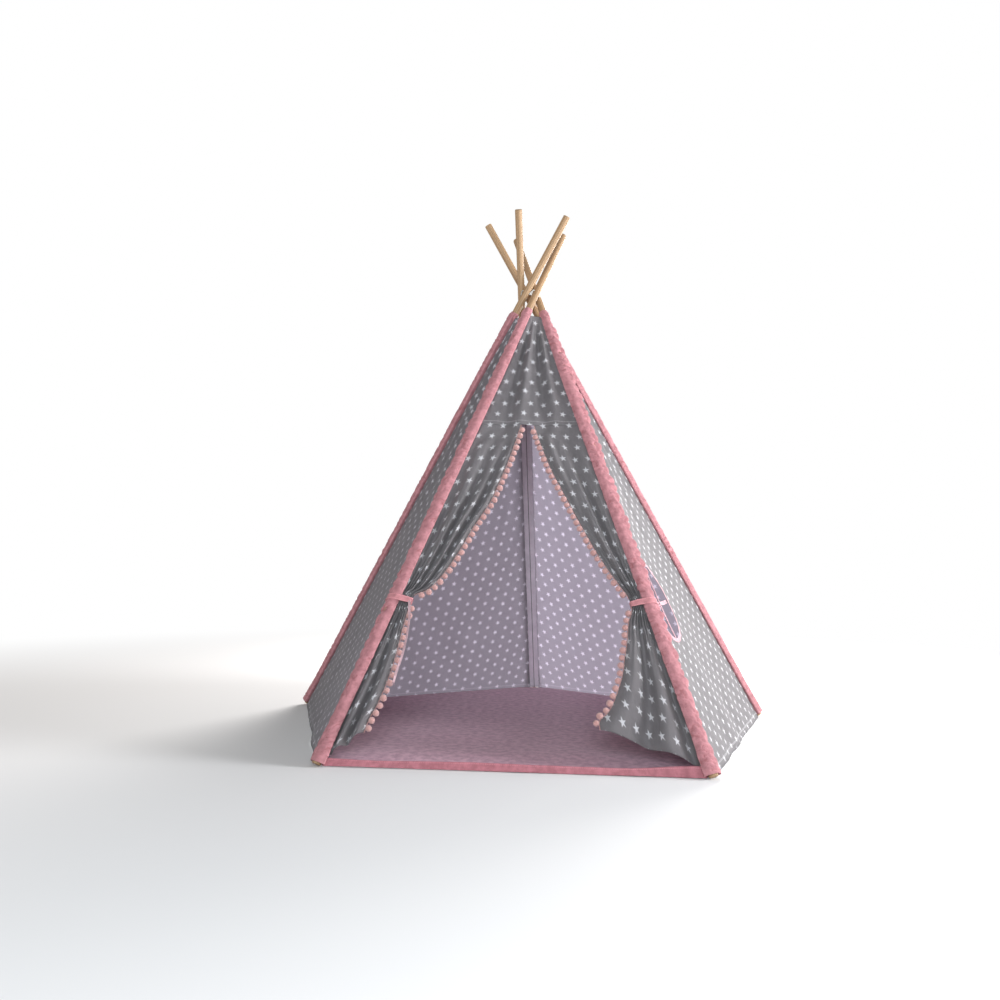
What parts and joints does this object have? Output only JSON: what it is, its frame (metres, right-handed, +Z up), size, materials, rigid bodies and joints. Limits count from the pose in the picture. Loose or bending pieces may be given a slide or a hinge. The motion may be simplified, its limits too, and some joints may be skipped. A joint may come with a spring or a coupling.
{
  "type": "kids play teepee",
  "caption": "Play teepee on crossed wooden poles, with a star-print cover, tied-back door curtains, a round window and a loose floor mat.",
  "frame": {"origin": "on the floor, at the centre of the mat's underside and of the ring of pole feet", "axes": "+Z up, -Y towards the viewer who faces the door, +X to that viewer's right"},
  "size_m": [1.5141, 1.457, 1.5575],
  "materials": {
    "pine": "planed and unvarnished",
    "pink_cotton": "matt woven cotton",
    "star_cotton": "matt woven cotton, small star print",
    "pompom_wool": "fluffy yarn",
    "cotton_cord": "braided cord",
    "mat_cotton": "padded matt cotton"
  },
  "bodies": {
    "floor": {"floor_mat": "mat_cotton", "mat_binding": "pink_cotton"},
    "lashing": {"lashing_cord": "cotton_cord", "lashing_knot": "cotton_cord"},
    "leg_front_left": {"pole_front_left": "pine", "sleeve_front_left": "pink_cotton", "tieback_left": "pink_cotton", "tieback_ribbon_end": "pink_cotton"},
    "leg_front_right": {"pole_front_right": "pine", "sleeve_front_right": "pink_cotton", "tieback_right": "pink_cotton"},
    "leg_side_right": {"pole_side_right": "pine", "sleeve_side_right": "pink_cotton"},
    "leg_back": {"pole_back": "pine", "sleeve_back": "pink_cotton"},
    "leg_side_left": {"pole_side_left": "pine", "sleeve_side_left": "pink_cotton"},
    "face_front": {"front_yoke": "star_cotton", "curtain_left": "star_cotton", "curtain_right": "star_cotton", "pompoms_left_upper": "pompom_wool", "pompoms_left_lower": "pompom_wool", "pompoms_right_upper": "pompom_wool", "pompoms_right_lower": "pompom_wool", "threshold_band": "pink_cotton"},
    "face_side_right": {"panel_side_right": "star_cotton", "window_binding": "pink_cotton", "window_bar_upright": "pink_cotton", "window_bar_level": "pink_cotton"},
    "face_back_right": {"panel_back_right": "star_cotton"},
    "face_back_left": {"panel_back_left": "star_cotton"},
    "face_side_left": {"panel_side_left": "star_cotton"}
  },
  "joints": [
    {"name": "frame_lift", "type": "slide", "parent": "floor", "child": "lashing", "axis": [0, 0, 1], "range_m": [0, 0.5], "deforming": ["front_yoke", "curtain_left", "curtain_right", "pompoms_left_upper", "pompoms_left_lower", "pompoms_right_upper", "pompoms_right_lower", "threshold_band", "panel_side_right", "window_binding", "window_bar_upright", "window_bar_level", "panel_back_right", "panel_back_left", "panel_side_left", "tieback_left", "tieback_right", "tieback_ribbon_end", "lashing_cord"]},
    {"name": "leg_fold_front_left", "type": "hinge", "parent": "lashing", "child": "leg_front_left", "pos_m": [0.0216, -0.01569, 1.33], "axis": [0.809, -0.5878, 0], "range_deg": [0, 27]},
    {"name": "leg_fold_front_right", "type": "hinge", "parent": "lashing", "child": "leg_front_right", "pos_m": [0.0216, 0.01569, 1.33], "axis": [0.809, 0.5878, 0], "range_deg": [0, 27]},
    {"name": "leg_fold_side_right", "type": "hinge", "parent": "lashing", "child": "leg_side_right", "pos_m": [-0.00825, 0.02539, 1.33], "axis": [-0.309, 0.9511, 0], "range_deg": [0, 27]},
    {"name": "leg_fold_back", "type": "hinge", "parent": "lashing", "child": "leg_back", "pos_m": [-0.0267, 0, 1.33], "axis": [-1, 0, 0], "range_deg": [0, 27]},
    {"name": "leg_fold_side_left", "type": "hinge", "parent": "lashing", "child": "leg_side_left", "pos_m": [-0.00825, -0.02539, 1.33], "axis": [-0.309, -0.9511, 0], "range_deg": [0, 27]},
    {"name": "face_fold_front", "type": "hinge", "parent": "lashing", "child": "face_front", "pos_m": [0, 0, 1.33], "axis": [1, 0, 0], "range_deg": [0, 23]},
    {"name": "face_fold_side_right", "type": "hinge", "parent": "lashing", "child": "face_side_right", "pos_m": [0, 0, 1.33], "axis": [0.309, 0.9511, 0], "range_deg": [0, 23]},
    {"name": "face_fold_back_right", "type": "hinge", "parent": "lashing", "child": "face_back_right", "pos_m": [0, 0, 1.33], "axis": [-0.809, 0.5878, 0], "range_deg": [0, 23]},
    {"name": "face_fold_back_left", "type": "hinge", "parent": "lashing", "child": "face_back_left", "pos_m": [0, 0, 1.33], "axis": [-0.809, -0.5878, 0], "range_deg": [0, 23]},
    {"name": "face_fold_side_left", "type": "hinge", "parent": "lashing", "child": "face_side_left", "pos_m": [0, 0, 1.33], "axis": [0.309, -0.9511, 0], "range_deg": [0, 23]}
  ],
  "couplings": [
    {"joint": "leg_fold_front_left", "follows": "frame_lift", "rad_per_m": 0.93201},
    {"joint": "leg_fold_front_right", "follows": "frame_lift", "rad_per_m": 0.93201},
    {"joint": "leg_fold_side_right", "follows": "frame_lift", "rad_per_m": 0.93201},
    {"joint": "leg_fold_back", "follows": "frame_lift", "rad_per_m": 0.93201},
    {"joint": "leg_fold_side_left", "follows": "frame_lift", "rad_per_m": 0.93201},
    {"joint": "face_fold_front", "follows": "frame_lift", "rad_per_m": 0.78259},
    {"joint": "face_fold_side_right", "follows": "frame_lift", "rad_per_m": 0.78259},
    {"joint": "face_fold_back_right", "follows": "frame_lift", "rad_per_m": 0.78259},
    {"joint": "face_fold_back_left", "follows": "frame_lift", "rad_per_m": 0.78259},
    {"joint": "face_fold_side_left", "follows": "frame_lift", "rad_per_m": 0.78259}
  ]
}
